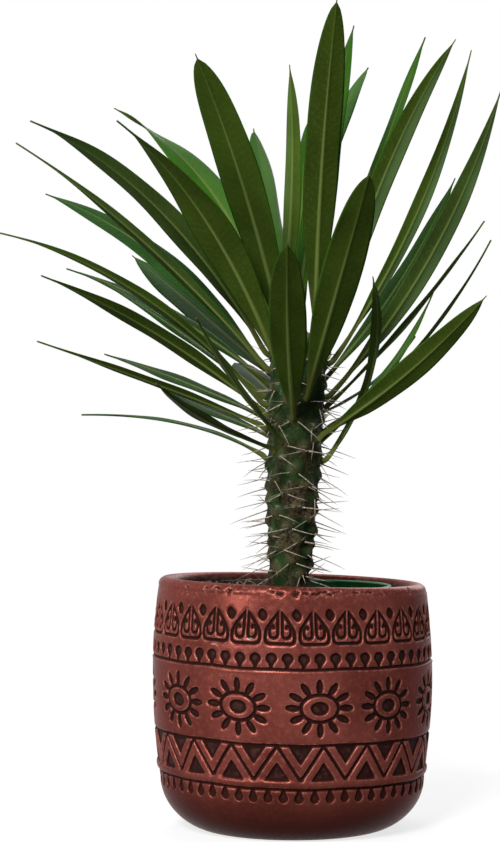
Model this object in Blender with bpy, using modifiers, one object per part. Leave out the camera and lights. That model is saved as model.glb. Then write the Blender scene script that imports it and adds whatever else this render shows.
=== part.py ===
"""A potted pachypodium: a thorny succulent stem with a crown of strap leaves, in a green nursery
pot that stands inside a copper-painted ceramic pot.

Frame: metres, +Z up, origin at the centre of the pot's flat underside, the pot's axis along Z.
-Y is the front. Each leaf is one object, and the stem, soil and both pots are one object each.
"""

import math
from dataclasses import dataclass

import bmesh
import bpy
import numpy as np
from mathutils import Vector

MM = 0.001
SEAT = 0.3 * MM  # the gap that two pieces in contact keep

# Outer pot, a barrel with a rounded foot and a rounded lip
POT_HEIGHT = 124 * MM
POT_BELLY_RADIUS = 70.2 * MM
POT_BELLY_HEIGHT = 76 * MM
POT_BELLY_SWELL = 3.3 * MM  # how much wider the belly is than the lip and the foot
POT_FOOT_RADIUS = 44 * MM
POT_FOOT_ROUND = 26 * MM
POT_FOOT_EASE = 1.3  # above 1, the foot turns in higher up than a quarter oval does
POT_LIP = 7.6 * MM  # thickness of the lip, whose crest is half a circle
POT_WALL = 7.2 * MM
POT_WALL_STATIONS = (50 * MM, 78 * MM, 106 * MM)
POT_INNER_FLOOR_RADIUS = 44 * MM
POT_INNER_ROUND = 10 * MM
POT_FLOOR = 10 * MM
POT_STEPS = 48

# Nursery pot, a tapered plastic pot that stands a little to the left inside the outer pot
NURSERY_SHIFT = Vector((-2.8 * MM, 0, 0))
NURSERY_TOP = 121.4 * MM
NURSERY_RIM_RADIUS = 52.5 * MM
NURSERY_NECK_RADIUS = 50.4 * MM
NURSERY_BASE_RADIUS = 38 * MM
NURSERY_WALL = 1.2 * MM
NURSERY_STEPS = 36
NURSERY_BAND = 9 * MM  # height of the stiff band under the rim
DRAIN_HOLES = 6
DRAIN_RADIUS = 4 * MM
DRAIN_RING = 26 * MM

# Soil, which stands higher on the left than on the right
SOIL_TOP = 115.5 * MM
SOIL_TILT = 0.05  # fall per unit of X
SOIL_LEVELLER = (160 * MM, 160 * MM, 40 * MM)
SOIL_TAPER_GAP = 0.2 * MM  # more room beside the nursery pot's slanting wall
SOCKET_MOUTH = 10 * MM  # how far the socket's cutter stands above the stem's collar

# Stem: a column that widens upwards, leans a little to the right and ends in a low dome
STEM_ROOT_TIP = 62 * MM
STEM_COLLAR = 122 * MM
STEM_COLLAR_RADIUS = 9.4 * MM
STEM_GAIN = 5.2 * MM  # how much wider it grows with height
STEM_GAIN_HEIGHT = 45 * MM
STEM_DOME_START = 232 * MM
STEM_TOP = 250 * MM
STEM_COLLAR_X = -1.5 * MM
STEM_LEAN = 0.038  # rightward shift per unit of height above the collar
STEM_STEPS = 28

# Leaves
LEAF_THICKNESS = 1.0 * MM
LEAF_STATIONS = 11
PETIOLE_STATIONS = (0, 0.35, 0.7)
PETIOLE_WIDTH = 3.2 * MM
PETIOLE_REACH = 4.4 * MM  # how far the petiole stands out of the stem
PETIOLE_RISE = 2.75 * MM
PETIOLE_TENSION = 6.6 * MM  # how strongly the petiole's ends hold their directions
TIP_WIDTH = 0.7 * MM
WIDEST_AT = 0.52  # where along the leaf the blade is widest


@dataclass
class Leaf:
    """One leaf. Lengths are in millimetres and angles in degrees.

    foot is the height on the stem that it grows from. middle and tip are points on its midrib,
    in the part's frame. roll turns the blade about its midrib and twist adds to that near the
    tip. fold is how far each half of the blade is raised. blunt is high for a leaf that stays
    wide almost to its tip. turn moves the foot round the stem, away from the side that the
    leaf points to."""

    name: str
    foot: float
    middle: tuple
    tip: tuple
    width: float
    roll: float = 0
    twist: float = 0
    fold: float = 10
    blunt: float = 2.4
    turn: float = 0


LEAVES = [
    # the youngest leaves, nearly upright, from the top of the stem
    Leaf("leaf_01", 246, (15, -13, 335), (22, -30, 410), 18, roll=-15, blunt=3.2),
    Leaf("leaf_02", 248, (0, -4, 320), (-1, -8, 380), 12, roll=-60, fold=24, turn=-40),
    Leaf("leaf_03", 245, (19, 24, 336), (32, 50, 411), 16, roll=-20, turn=-15),
    Leaf("leaf_04", 247, (17, 52, 338), (41, 105, 399), 18, roll=-25, blunt=3.2, turn=20),
    Leaf("leaf_05", 243, (5, 64, 310), (9, 102, 370), 17, roll=-40, blunt=3.2),
    Leaf("leaf_06", 240, (-12, 64, 310), (-21, 112, 366), 18, roll=30, blunt=3.2, turn=12),
    Leaf("leaf_07", 241, (-23, -50, 315), (-44, -95, 371), 20.5, roll=10, blunt=3.2),
    Leaf("leaf_08", 243, (42, 32, 329), (70, 62, 407), 13, roll=-10),
    Leaf("leaf_09", 239, (45, -12, 324), (79, -30, 389), 17, roll=-25, fold=18),
    Leaf("leaf_10", 239, (-39, 45, 322), (-95, 90, 375), 19, roll=-10, twist=35, blunt=2),
    # the upper side leaves
    Leaf("leaf_11", 232, (-41, -60, 302), (-79, -100, 340), 21, roll=20),
    Leaf("leaf_12", 237, (-66, -20, 308), (-126, -35, 350), 17, roll=30, fold=18),
    Leaf("leaf_13", 233, (63, 8, 309), (91, 14, 391), 12, roll=-40, fold=16, blunt=1.8),
    Leaf("leaf_14", 230, (-74, -35, 293), (-130, -62, 335), 12, roll=22, blunt=1.5),
    Leaf("leaf_15", 230, (-68, 30, 288), (-129, 60, 325), 15, roll=-35, blunt=2),
    Leaf("leaf_16", 224, (-46, 60, 260), (-87, 110, 296), 18, roll=-20),
    Leaf("leaf_17", 216, (69, -12, 286), (103, -24, 366), 16, roll=-25, fold=18, blunt=1.8),
    Leaf("leaf_18", 223, (55, 45, 275), (87, 80, 334), 15, roll=5, blunt=2),
    Leaf("leaf_19", 215, (22, -60, 268), (35, -115, 314), 19.5, roll=-10, blunt=2.8),
    # the middle leaves
    Leaf("leaf_20", 222, (-65, 40, 261), (-120, 80, 287), 12, roll=-15, blunt=1.6),
    Leaf("leaf_21", 212, (-77, -20, 268), (-141, -40, 295), 12, roll=20, blunt=1.5),
    Leaf("leaf_22", 216, (-58, 12, 250), (-98, 22, 276), 10, roll=-20, blunt=1.6),
    Leaf("leaf_23", 207, (-67, -30, 247), (-118, -60, 272), 14, roll=20, blunt=1.7),
    Leaf("leaf_24", 211, (60, 22, 256), (99, 42, 307), 10, roll=-35, blunt=1.7),
    Leaf("leaf_25", 205, (-2, -65, 245), (-2, -115, 282), 18.5, roll=-10, blunt=2.8),
    Leaf("leaf_26", 199, (64, 14, 241), (101, 24, 295), 9, roll=-25, blunt=1.7),
    Leaf("leaf_27", 205, (41, 62, 224), (67, 110, 251), 14, roll=-5),
    # the oldest leaves, low on the stem
    Leaf("leaf_28", 203, (-57, 45, 225), (-100, 85, 241), 11, roll=-15, blunt=1.7),
    Leaf("leaf_29", 200, (-69, -15, 223), (-123, -30, 242), 10, roll=20, blunt=1.4),
    Leaf("leaf_30", 193, (49, 34, 229), (74, 62, 271), 9, roll=-5, blunt=1.6),
    Leaf("leaf_31", 195, (54, -40, 225), (90, -75, 260), 18, roll=-20),
    Leaf("leaf_32", 193, (-26, -60, 220), (-43, -110, 248), 11, roll=-30, blunt=1.7),
    Leaf("leaf_33", 194, (-40, 42, 209), (-67, 80, 221), 11, roll=-10, blunt=1.8),
    Leaf("leaf_34", 188, (-40, -50, 203), (-62, -95, 219), 11, blunt=1.8),
    Leaf("leaf_35", 184, (39, -6, 228), (40, -32, 272), 12, roll=30, twist=-20),
    Leaf("leaf_36", 185, (-57, 25, 203), (-108, 45, 208), 11, roll=-15, blunt=1.5),
    # leaves behind the stem
    Leaf("leaf_37", 234, (-4, 65, 259), (-8, 118, 280), 16),
    Leaf("leaf_38", 218, (12, 64, 238), (18, 118, 246), 15, roll=10),
    Leaf("leaf_39", 209, (-20, 66, 228), (-32, 122, 238), 14, roll=-10),
    Leaf("leaf_40", 192, (12, 62, 207), (18, 116, 208), 13, roll=5),
]


def clear_scene():
    for obj in list(bpy.data.objects):
        bpy.data.objects.remove(obj, do_unlink=True)


def collection(name, shown=True):
    made = bpy.data.collections.new(name)
    made.hide_render = not shown
    bpy.context.scene.collection.children.link(made)
    return made


def material(name, colour, roughness, metallic=0.0):
    made = bpy.data.materials.new(name)
    made.use_nodes = True
    shader = made.node_tree.nodes["Principled BSDF"]
    shader.inputs["Base Color"].default_value = (*colour, 1)
    shader.inputs["Roughness"].default_value = roughness
    shader.inputs["Metallic"].default_value = metallic
    return made


def add_object(name, mesh, home, finish=None):
    obj = bpy.data.objects.new(name, mesh)
    home.objects.link(obj)
    if finish:
        mesh.materials.append(finish)
    mesh.shade_smooth()
    mesh.set_sharp_from_angle(angle=math.radians(40))
    return obj


def arc(centre, radius, start, end, steps):
    """Points (r, z) on a circle of that radius, from one angle to another in degrees."""
    angles = np.radians(np.linspace(start, end, steps))
    return [(centre[0] + radius * math.cos(a), centre[1] + radius * math.sin(a)) for a in angles]


def turned(name, profile, steps, home, finish=None):
    """A closed (r, z) profile that starts and ends on the axis, turned about Z by a Screw modifier."""
    mesh = bpy.data.meshes.new(name)
    edges = [(i, i + 1) for i in range(len(profile) - 1)]
    mesh.from_pydata([(r, 0, z) for r, z in profile], edges, [])
    obj = add_object(name, mesh, home, finish)
    screw = obj.modifiers.new("turn", "SCREW")
    screw.axis = "Z"
    screw.steps = steps
    screw.render_steps = steps
    screw.use_merge_vertices = True
    screw.merge_threshold = 0.00005
    screw.use_smooth_shade = True
    return obj


def cut(obj, cutter, name):
    boolean = obj.modifiers.new(name, "BOOLEAN")
    boolean.operation = "DIFFERENCE"
    boolean.object = cutter


def as_cutter(obj):
    obj.hide_render = True
    obj.display_type = "WIRE"


def pot_side_radius(z):
    """Radius of the pot's outer wall: a parabola that is widest at the belly."""
    reach = (z - POT_BELLY_HEIGHT) / (POT_HEIGHT - POT_BELLY_HEIGHT)
    return POT_BELLY_RADIUS - POT_BELLY_SWELL * reach * reach


def build_pot(home):
    """One profile: from the inner floor up the wall, over the lip, down outside and under the foot."""
    half_lip = POT_LIP / 2
    lip_centre = (pot_side_radius(POT_HEIGHT - half_lip) - half_lip, POT_HEIGHT - half_lip)
    inner_corner = (POT_INNER_FLOOR_RADIUS, POT_FLOOR + POT_INNER_ROUND)
    inner_foot = arc(inner_corner, POT_INNER_ROUND, -90, -10, 4)
    inner_wall = [(pot_side_radius(z) - POT_WALL, z) for z in POT_WALL_STATIONS]
    crest = arc(lip_centre, half_lip, 180, 0, 7)
    side_heights = np.linspace(POT_HEIGHT - 14 * MM, POT_FOOT_ROUND, 6)
    side = [(pot_side_radius(z), z) for z in side_heights]
    foot_reach = pot_side_radius(POT_FOOT_ROUND) - POT_FOOT_RADIUS
    foot = [
        (
            POT_FOOT_RADIUS + foot_reach * math.cos(a) ** POT_FOOT_EASE,
            POT_FOOT_ROUND * (1 + math.sin(a)),
        )
        for a in np.radians(np.linspace(-12, -90, 8))
    ]
    profile = [(0, POT_FLOOR)] + inner_foot + inner_wall + crest + side + foot + [(0, 0)]
    copper = material("copper_paint", (0.36, 0.09, 0.05), 0.42, 0.55)
    return turned("pot", profile, POT_STEPS, home, copper)


def nursery_outer_radius(z):
    """Radius of the nursery pot's tapered wall under its band."""
    floor = POT_FLOOR + SEAT
    neck = NURSERY_TOP - NURSERY_BAND
    share = (z - floor) / (neck - floor)
    return NURSERY_BASE_RADIUS + share * (NURSERY_NECK_RADIUS - NURSERY_BASE_RADIUS)


def build_nursery_pot(home, cutters):
    floor = POT_FLOOR + SEAT
    neck = NURSERY_TOP - NURSERY_BAND
    wall = NURSERY_WALL
    inside = [
        (0, floor + wall),
        (nursery_outer_radius(floor) - wall, floor + wall),
        (nursery_outer_radius(neck) - wall, neck),
        (NURSERY_RIM_RADIUS - wall, neck + 1.5 * MM),
        (NURSERY_RIM_RADIUS - wall, NURSERY_TOP),
    ]
    outside = [
        (NURSERY_RIM_RADIUS, NURSERY_TOP),
        (NURSERY_RIM_RADIUS, neck),
        (nursery_outer_radius(neck), neck - 1.5 * MM),
        (nursery_outer_radius(floor), floor),
        (0, floor),
    ]
    green = material("green_plastic", (0.02, 0.16, 0.05), 0.35)
    pot = turned("nursery_pot", inside + outside, NURSERY_STEPS, home, green)
    pot.location = NURSERY_SHIFT
    for i in range(DRAIN_HOLES):
        angle = math.tau * (i + 0.5) / DRAIN_HOLES
        mesh = bpy.data.meshes.new(f"drain_cutter_{i}")
        shape = bmesh.new()
        bmesh.ops.create_cone(
            shape,
            cap_ends=True,
            segments=12,
            radius1=DRAIN_RADIUS,
            radius2=DRAIN_RADIUS,
            depth=6 * wall,
        )
        shape.to_mesh(mesh)
        shape.free()
        cutter = add_object(f"drain_cutter_{i}", mesh, cutters)
        cutter.location = NURSERY_SHIFT + Vector(
            (DRAIN_RING * math.cos(angle), DRAIN_RING * math.sin(angle), floor)
        )
        as_cutter(cutter)
        cut(pot, cutter, f"drain_{i}")
    return pot


def stem_axis_x(z):
    """The stem's centre line leans right above the collar and runs straight down below it."""
    return STEM_COLLAR_X + STEM_LEAN * max(0.0, z - STEM_COLLAR)


def stem_radius(z):
    """The stem's radius: a tapering root, a column that widens, and a half-ellipse dome."""
    if z < STEM_COLLAR:
        share = (z - STEM_ROOT_TIP) / (STEM_COLLAR - STEM_ROOT_TIP)
        return STEM_COLLAR_RADIUS * math.sqrt(max(share, 0.0))
    height = min(z, STEM_DOME_START)
    radius = STEM_COLLAR_RADIUS + STEM_GAIN * (
        1 - math.exp(-(height - STEM_COLLAR) / STEM_GAIN_HEIGHT)
    )
    rise = max(0.0, z - STEM_DOME_START) / (STEM_TOP - STEM_DOME_START)
    return radius * math.sqrt(max(0.0, 1 - rise * rise))


def build_stem(home):
    """A sphere's rings and poles, moved onto the stem: each ring takes its height and radius."""
    root = np.linspace(STEM_ROOT_TIP, STEM_COLLAR, 6)
    column = np.linspace(STEM_COLLAR, STEM_DOME_START, 9)[1:]
    dome_rise = np.sin(np.radians(np.linspace(0, 90, 6)[1:]))
    dome = STEM_DOME_START + (STEM_TOP - STEM_DOME_START) * dome_rise
    heights = np.concatenate([root, column, dome])
    last = len(heights) - 1
    shape = bmesh.new()
    bmesh.ops.create_uvsphere(shape, u_segments=STEM_STEPS, v_segments=last, radius=1)
    for vert in shape.verts:
        polar = math.acos(max(-1.0, min(1.0, -vert.co.z)))
        z = heights[round(polar / math.pi * last)]
        angle = math.atan2(vert.co.y, vert.co.x)
        radius = stem_radius(z)
        vert.co = (stem_axis_x(z) + radius * math.cos(angle), radius * math.sin(angle), z)
    mesh = bpy.data.meshes.new("stem")
    shape.to_mesh(mesh)
    shape.free()
    return add_object("stem", mesh, home, material("stem_skin", (0.06, 0.09, 0.03), 0.6))


def build_soil(home, cutters):
    """A plug that fills the nursery pot up to a tilted top, with a socket for the stem."""
    wall = NURSERY_WALL + SEAT
    low = POT_FLOOR + SEAT + wall
    neck = NURSERY_TOP - NURSERY_BAND
    top = NURSERY_TOP
    profile = [
        (0, top),
        (NURSERY_RIM_RADIUS - wall, top),
        (NURSERY_RIM_RADIUS - wall, neck + 2.2 * MM),
        (nursery_outer_radius(neck) - wall - SOIL_TAPER_GAP, neck),
        (nursery_outer_radius(low) - wall - SOIL_TAPER_GAP, low),
        (0, low),
    ]
    mix = material("soil", (0.03, 0.02, 0.015), 0.95)
    soil = turned("potting_soil", profile, NURSERY_STEPS, home, mix)
    soil.location = NURSERY_SHIFT

    mesh = bpy.data.meshes.new("soil_leveller")
    shape = bmesh.new()
    bmesh.ops.create_cube(shape, size=1)
    bmesh.ops.scale(shape, vec=SOIL_LEVELLER, verts=shape.verts)
    shape.to_mesh(mesh)
    shape.free()
    leveller = add_object("soil_leveller", mesh, cutters)
    leveller.rotation_euler = (0, math.atan(SOIL_TILT), 0)
    leveller.location = (0, 0, SOIL_TOP + SOIL_LEVELLER[2] / 2)
    as_cutter(leveller)
    cut(soil, leveller, "level")

    mouth = STEM_COLLAR + SOCKET_MOUTH
    bottom = STEM_ROOT_TIP - 2 * MM
    heights = np.linspace(STEM_COLLAR, bottom, 7)
    socket_profile = [(0, mouth), (STEM_COLLAR_RADIUS + 3 * SEAT, mouth)]
    socket_profile += [(stem_radius(z) + 2 * SEAT, z) for z in heights]
    socket_profile += [(0, bottom)]
    socket = turned("stem_socket", socket_profile, STEM_STEPS, cutters)
    socket.location = (STEM_COLLAR_X, 0, 0)
    as_cutter(socket)
    cut(soil, socket, "socket")
    return soil


def stem_point(angle, z):
    """The point on the stem's surface at that angle and height, and the direction out of it."""
    radius = stem_radius(z)
    step = 0.5 * MM
    slope = (stem_radius(z + step) - stem_radius(z - step)) / (2 * step)
    point = Vector((stem_axis_x(z) + radius * math.cos(angle), radius * math.sin(angle), z))
    out = Vector((math.cos(angle), math.sin(angle), -slope)).normalized()
    return point, out


def leaf_width(share, blunt):
    """Full width as a share of the widest: a sine rise from the petiole, then a curve to the point."""
    if share < WIDEST_AT:
        return math.sin(math.pi / 2 * share / WIDEST_AT) ** 1.1
    past = (share - WIDEST_AT) / (1 - WIDEST_AT)
    return (1 - past**blunt) ** (1.5 / blunt + 0.15)


def leaf_midrib(leaf):
    """Points along the midrib and the sideways direction of the leaf.

    The petiole is a Hermite curve that leaves the stem squarely. The blade is the parabola
    from the petiole's end through the leaf's middle to its tip."""
    middle = Vector(leaf.middle) * MM
    tip = Vector(leaf.tip) * MM
    foot_z = leaf.foot * MM
    heading = math.atan2(middle.y, middle.x - stem_axis_x(foot_z)) + math.radians(leaf.turn)
    surface, out = stem_point(heading, foot_z)
    foot = surface + out * SEAT
    knee = foot + out * PETIOLE_REACH + Vector((0, 0, PETIOLE_RISE))
    control = 2 * middle - (knee + tip) / 2
    leave = (control - knee).normalized()
    chord = tip - knee
    across = Vector((-chord.y, chord.x, 0)).normalized()
    points = []
    for t in PETIOLE_STATIONS:
        blend = (2 * t**3 - 3 * t**2 + 1, t**3 - 2 * t**2 + t, 3 * t**2 - 2 * t**3, t**3 - t**2)
        points.append(
            foot * blend[0]
            + out * PETIOLE_TENSION * blend[1]
            + knee * blend[2]
            + leave * PETIOLE_TENSION * blend[3]
        )
    for t in np.linspace(0, 1, LEAF_STATIONS) ** 0.95:
        points.append(knee * (1 - t) ** 2 + control * 2 * t * (1 - t) + tip * t**2)
    return points, across


def leaf_sections(leaf):
    """Left edge, midrib and right edge of the blade at each point of the midrib."""
    points, across = leaf_midrib(leaf)
    lengths = [(b - a).length for a, b in zip(points, points[1:])]
    total = sum(lengths)
    travelled = 0.0
    sections = []
    for i, point in enumerate(points):
        before = points[max(i - 1, 0)]
        after = points[min(i + 1, len(points) - 1)]
        along = (after - before).normalized()
        if i:
            travelled += lengths[i - 1]
        share = travelled / total
        side = (across - along * across.dot(along)).normalized()
        up = along.cross(side)
        turn = math.radians(leaf.roll * min(1, share * 4) + leaf.twist * share**2)
        level, raised = side, up
        side = level * math.cos(turn) + raised * math.sin(turn)
        up = raised * math.cos(turn) - level * math.sin(turn)
        blade = leaf_width(min(share, 1), leaf.blunt) * leaf.width * MM
        floor = PETIOLE_WIDTH if share < WIDEST_AT else TIP_WIDTH
        half = max(blade, floor) / 2
        raise_angle = math.radians(leaf.fold) * min(1, share * 6)
        reach = side * half * math.cos(raise_angle)
        lift = up * half * math.sin(raise_angle)
        sections.append((point - reach + lift, point, point + reach + lift))
    return sections


def build_leaf(leaf, home, finish):
    """The blade is a grid, two cells across, whose points are placed on the leaf's sections."""
    sections = leaf_sections(leaf)
    shape = bmesh.new()
    bmesh.ops.create_grid(shape, x_segments=2, y_segments=len(sections) - 1, size=1)
    shape.verts.ensure_lookup_table()
    ordered = sorted(shape.verts, key=lambda v: (round(v.co.y, 4), round(v.co.x, 4)))
    for i, vert in enumerate(ordered):
        vert.co = sections[i // 3][i % 3]
    mesh = bpy.data.meshes.new(leaf.name)
    shape.to_mesh(mesh)
    shape.free()
    obj = add_object(leaf.name, mesh, home, finish)
    solidify = obj.modifiers.new("thickness", "SOLIDIFY")
    solidify.thickness = LEAF_THICKNESS
    solidify.offset = 0
    return obj


def main():
    clear_scene()
    plant = collection("potted_pachypodium")
    cutters = collection("cutters", shown=False)
    build_pot(plant)
    build_nursery_pot(plant, cutters)
    build_soil(plant, cutters)
    build_stem(plant)
    leaf_skin = material("leaf_skin", (0.04, 0.13, 0.03), 0.35)
    for leaf in LEAVES:
        build_leaf(leaf, plant, leaf_skin)


main()
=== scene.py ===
"""The looks of a potted pachypodium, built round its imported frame.

A thorny stem with a crown of strap leaves grows in a green nursery pot, which stands in a
copper-painted pot with pressed bands of ornament. -Y is the front and Z is up. The frame is in
metres. The shape functions work in millimetres, and add_piece turns them into metres.
"""

import math
from dataclasses import dataclass

import bpy
import numpy as np
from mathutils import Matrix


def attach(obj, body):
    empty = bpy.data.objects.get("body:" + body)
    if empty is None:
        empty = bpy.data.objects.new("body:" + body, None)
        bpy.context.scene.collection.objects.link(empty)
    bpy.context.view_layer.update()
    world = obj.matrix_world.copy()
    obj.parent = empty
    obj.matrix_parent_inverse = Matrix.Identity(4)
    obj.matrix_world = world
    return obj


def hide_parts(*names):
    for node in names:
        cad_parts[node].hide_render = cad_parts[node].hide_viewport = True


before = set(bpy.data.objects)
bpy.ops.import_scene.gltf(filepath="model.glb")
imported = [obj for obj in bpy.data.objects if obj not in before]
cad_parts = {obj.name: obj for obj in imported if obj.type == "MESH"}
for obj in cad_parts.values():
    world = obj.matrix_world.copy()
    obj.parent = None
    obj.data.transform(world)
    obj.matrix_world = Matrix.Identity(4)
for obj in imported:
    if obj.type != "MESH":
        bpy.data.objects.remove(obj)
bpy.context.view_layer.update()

MM = 0.001
GOLDEN_ANGLE = math.radians(137.508)
WHITE = (1.0, 1.0, 1.0, 1.0)

# Outer pot
POT_HEIGHT = 124.0
BELLY_RADIUS = 70.2
BELLY_HEIGHT = 76.0
BELLY_SWELL = 3.3
FOOT_RADIUS = 44.0
FOOT_ROUND = 26.0
FOOT_EASE = 0.65  # above a half, the foot turns in higher up than a quarter oval does
LIP = 7.6
POT_WALL = 7.2
INNER_FLOOR_RADIUS = 44.0
INNER_ROUND = 10.0
POT_FLOOR = 10.0
RIM_LEAN = 0.03  # how far the rim falls to the right, per millimetre
BAND_LEAN = 0.018  # how far the pressed bands fall to the right and to the front
ORNAMENT_RADIUS = 69.5
FINE_COLUMNS = 702
FINE_RINGS = 124
COARSE_COLUMNS = 117

# Bands of ornament: how many of each motif go round the pot, and heights in millimetres
DOTS_HEIGHT = 110.7
TRIANGLES, TRIANGLE_FOOT = 26, 97.0
KEYHOLES, KEYHOLES_HEIGHT = 56, 90.1
FINE_RIDGE_HEIGHT = 83.7
SUNS, SUNS_HEIGHT, PETALS = 11, 66.6, 12
ZIGZAGS, ZIGZAG_FOOT, ZIGZAG_RISE = 19, 31.9, 16.7
RIDGE_HEIGHT = 30.0
DROPS, DROPS_GROOVE = 56, 27.6
GROOVE_DEPTH = 0.8
SHOULDER_DEPTH = 0.25
PLAIN = 9.0  # stands for the distance from the ornament where there is none near

# Nursery pot and soil
NURSERY_X = -2.8
NURSERY_TOP = 121.4
NURSERY_RIM_RADIUS = 52.5
NURSERY_NECK_RADIUS = 50.4
NURSERY_BASE_RADIUS = 38.0
NURSERY_WALL = 1.2
NURSERY_BAND = 9.0
NURSERY_FLOOR = POT_FLOOR + 0.3
DRAIN_HOLES = 6
DRAIN_RING = 26.0
DRAIN_RADIUS = 4.0
SOIL_TOP = 115.5
SOIL_TILT = 0.05

# Stem
ROOT_TIP = 62.0
COLLAR = 122.0
COLLAR_RADIUS = 9.4
STEM_GAIN = 5.2
STEM_GAIN_HEIGHT = 45.0
DOME_START = 232.0
STEM_TOP = 250.0
COLLAR_X = -1.5
STEM_LEAN = 0.038
CUSHION_GAP = 6.2  # the least distance between two of them
CUSHION_HEIGHT = 2.1
CUSHION_REACH = (3.3, 2.5)  # how far one spreads round the stem and along it

# Leaves
PETIOLE_WIDTH = 2.6
PETIOLE_FLARE = 0.9  # how much wider it is at its foot
PETIOLE_REACH = 4.4
PETIOLE_RISE = 2.75
PETIOLE_TENSION = 6.6
TIP_WIDTH = 0.7
WIDEST_AT = 0.52
FOLD_SHARE = 0.6
POINT_LENGTH = 3.0  # the hard point that a leaf ends in
MARGIN_THICKNESS = 0.16  # this and the next two are half thicknesses
MIDDLE_THICKNESS = 0.24
STALK_THICKNESS = 0.7
RIB_DEPTH = 0.75  # how far the midrib stands out below
RIPPLE = 0.055

# Thorns
THORN_REACH = 38.0  # no thorn goes farther than this from the middle of the pot
THORN_CLEARANCE = 1.3  # what a thorn keeps from every leaf
LONG_THORN = (14, 22)
SHORT_THORN = (8, 15)
LEAFY_FROM = 183  # from here down, even a cushion with a leaf bears thorns like a bare one


# ---- meshes


def smooth_step(low, high, value):
    """0 below low, 1 above high, and an S curve between; low may be the larger of the two."""
    t = np.clip((value - low) / (high - low), 0, 1)
    return t * t * (3 - 2 * t)


def unit(vector):
    return vector / np.linalg.norm(vector, axis=-1, keepdims=True)


def add_object(name, data):
    made = bpy.data.objects.new(name, data)
    bpy.context.scene.collection.objects.link(made)
    return made


def add_piece(name, points, faces, finish, replaced=(), fields=None):
    """A smooth mesh piece from points in millimetres, riding on the one body of the frame."""
    mesh = bpy.data.meshes.new(name)
    mesh.from_pydata((np.asarray(points) * MM).tolist(), [], faces)
    for field, values in (fields or {}).items():
        layer = mesh.attributes.new(field, "FLOAT", "POINT")
        layer.data.foreach_set("value", np.asarray(values, np.float32).ravel())
    mesh.materials.append(finish)
    mesh.shade_smooth()
    mesh.update()
    piece = add_object(name, mesh)
    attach(piece, "root")
    if replaced:
        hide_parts(*replaced)
    return piece


def skin(rings, first_pole=None, last_pole=None):
    """Points and faces of a surface through closed rings that run anticlockwise, seen from above.

    Rings of equal size are joined with four-sided faces. Where one ring has a whole number of
    times the points of its neighbour, each face takes that many points from the larger ring.
    A pole is a point that closes the surface at its first or last ring."""
    counts = [len(ring) for ring in rings]
    starts = np.cumsum([0] + counts[:-1])
    faces = []
    for low, high, a, b in zip(counts, counts[1:], starts, starts[1:]):
        fewer = min(low, high)
        each = np.arange(fewer)
        step = np.arange(max(low, high) // fewer + 1)
        below = a + (each[:, None] * (low // fewer) + step[: low // fewer + 1]) % low
        above = b + (each[:, None] * (high // fewer) + step[: high // fewer + 1][::-1]) % high
        faces += np.hstack([below, above]).tolist()
    points = np.concatenate(rings)
    around = np.arange(counts[0])
    if first_pole is not None:
        pole = np.full(counts[0], len(points))
        faces += np.stack([np.roll(around, -1), around, pole], 1).tolist()
        points = np.vstack([points, first_pole])
    if last_pole is not None:
        around = np.arange(counts[-1])
        pole = np.full(counts[-1], len(points))
        last = starts[-1] + around
        faces += np.stack([last, starts[-1] + np.roll(around, -1), pole], 1).tolist()
        points = np.vstack([points, last_pole])
    return points, faces


def joined(shells):
    """One mesh of many, each given as its points and faces."""
    points, faces, start = [], [], 0
    for shell_points, shell_faces in shells:
        faces += [[corner + start for corner in face] for face in shell_faces]
        points.append(shell_points)
        start += len(shell_points)
    return np.concatenate(points), faces


def turns(columns):
    """Equal steps of angle round a full turn."""
    return math.tau * np.arange(columns) / columns


def ring(radius, height, columns, centre_x=0.0):
    """A ring whose first point is at the front. It is a level circle, unless the radius or the
    height is given for each point."""
    turn = turns(columns)
    x = centre_x + radius * np.sin(turn)
    return np.stack([x, -radius * np.cos(turn), np.full(columns, height)], 1)


def tubes(paths, radii, sides):
    """Closed round tubes along many paths, as one mesh.

    paths is (tubes, stations, 3) and radii is (tubes, stations). Each ring stands square to its
    path: the direction along it, a side taken square to that and to the axis least like it, and
    their cross product. A pole closes each end."""
    along = unit(np.gradient(paths, axis=1))
    axis = np.eye(3)[np.abs(along.mean(1)).argmin(1)][:, None, :]
    side = unit(np.cross(along, axis))
    other = np.cross(along, side)
    turn = turns(sides)[:, None]
    spokes = side[:, :, None] * np.cos(turn) + other[:, :, None] * np.sin(turn)
    rings = paths[:, :, None] + radii[:, :, None, None] * spokes
    return joined([skin(tube, path[0], path[-1]) for tube, path in zip(rings, paths)])


# ---- finishes


class Nodes:
    """A shader's node tree, which grows by one call at a time."""

    def __init__(self, tree):
        self.tree = tree

    def node(self, kind, inputs=None, **settings):
        made = self.tree.nodes.new("ShaderNode" + kind)
        for key, value in settings.items():
            setattr(made, key, value)
        for key, value in (inputs or {}).items():
            if isinstance(value, bpy.types.NodeSocket):
                self.tree.links.new(value, made.inputs[key])
            else:
                made.inputs[key].default_value = value
        return made

    def math(self, operation, a, b=0.0):
        return self.node("Math", {0: a, 1: b}, operation=operation).outputs[0]

    def times(self, a, b):
        return self.math("MULTIPLY", a, b)

    def seen(self):
        """1 for the rays that show a thing to the camera, straight or by way of a shiny or clear
        surface, and 0 for the rays that light it."""
        rays = self.node("LightPath").outputs
        indirect = self.math("MAXIMUM", rays["Is Glossy Ray"], rays["Is Transmission Ray"])
        return self.math("MAXIMUM", rays["Is Camera Ray"], indirect)


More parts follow.
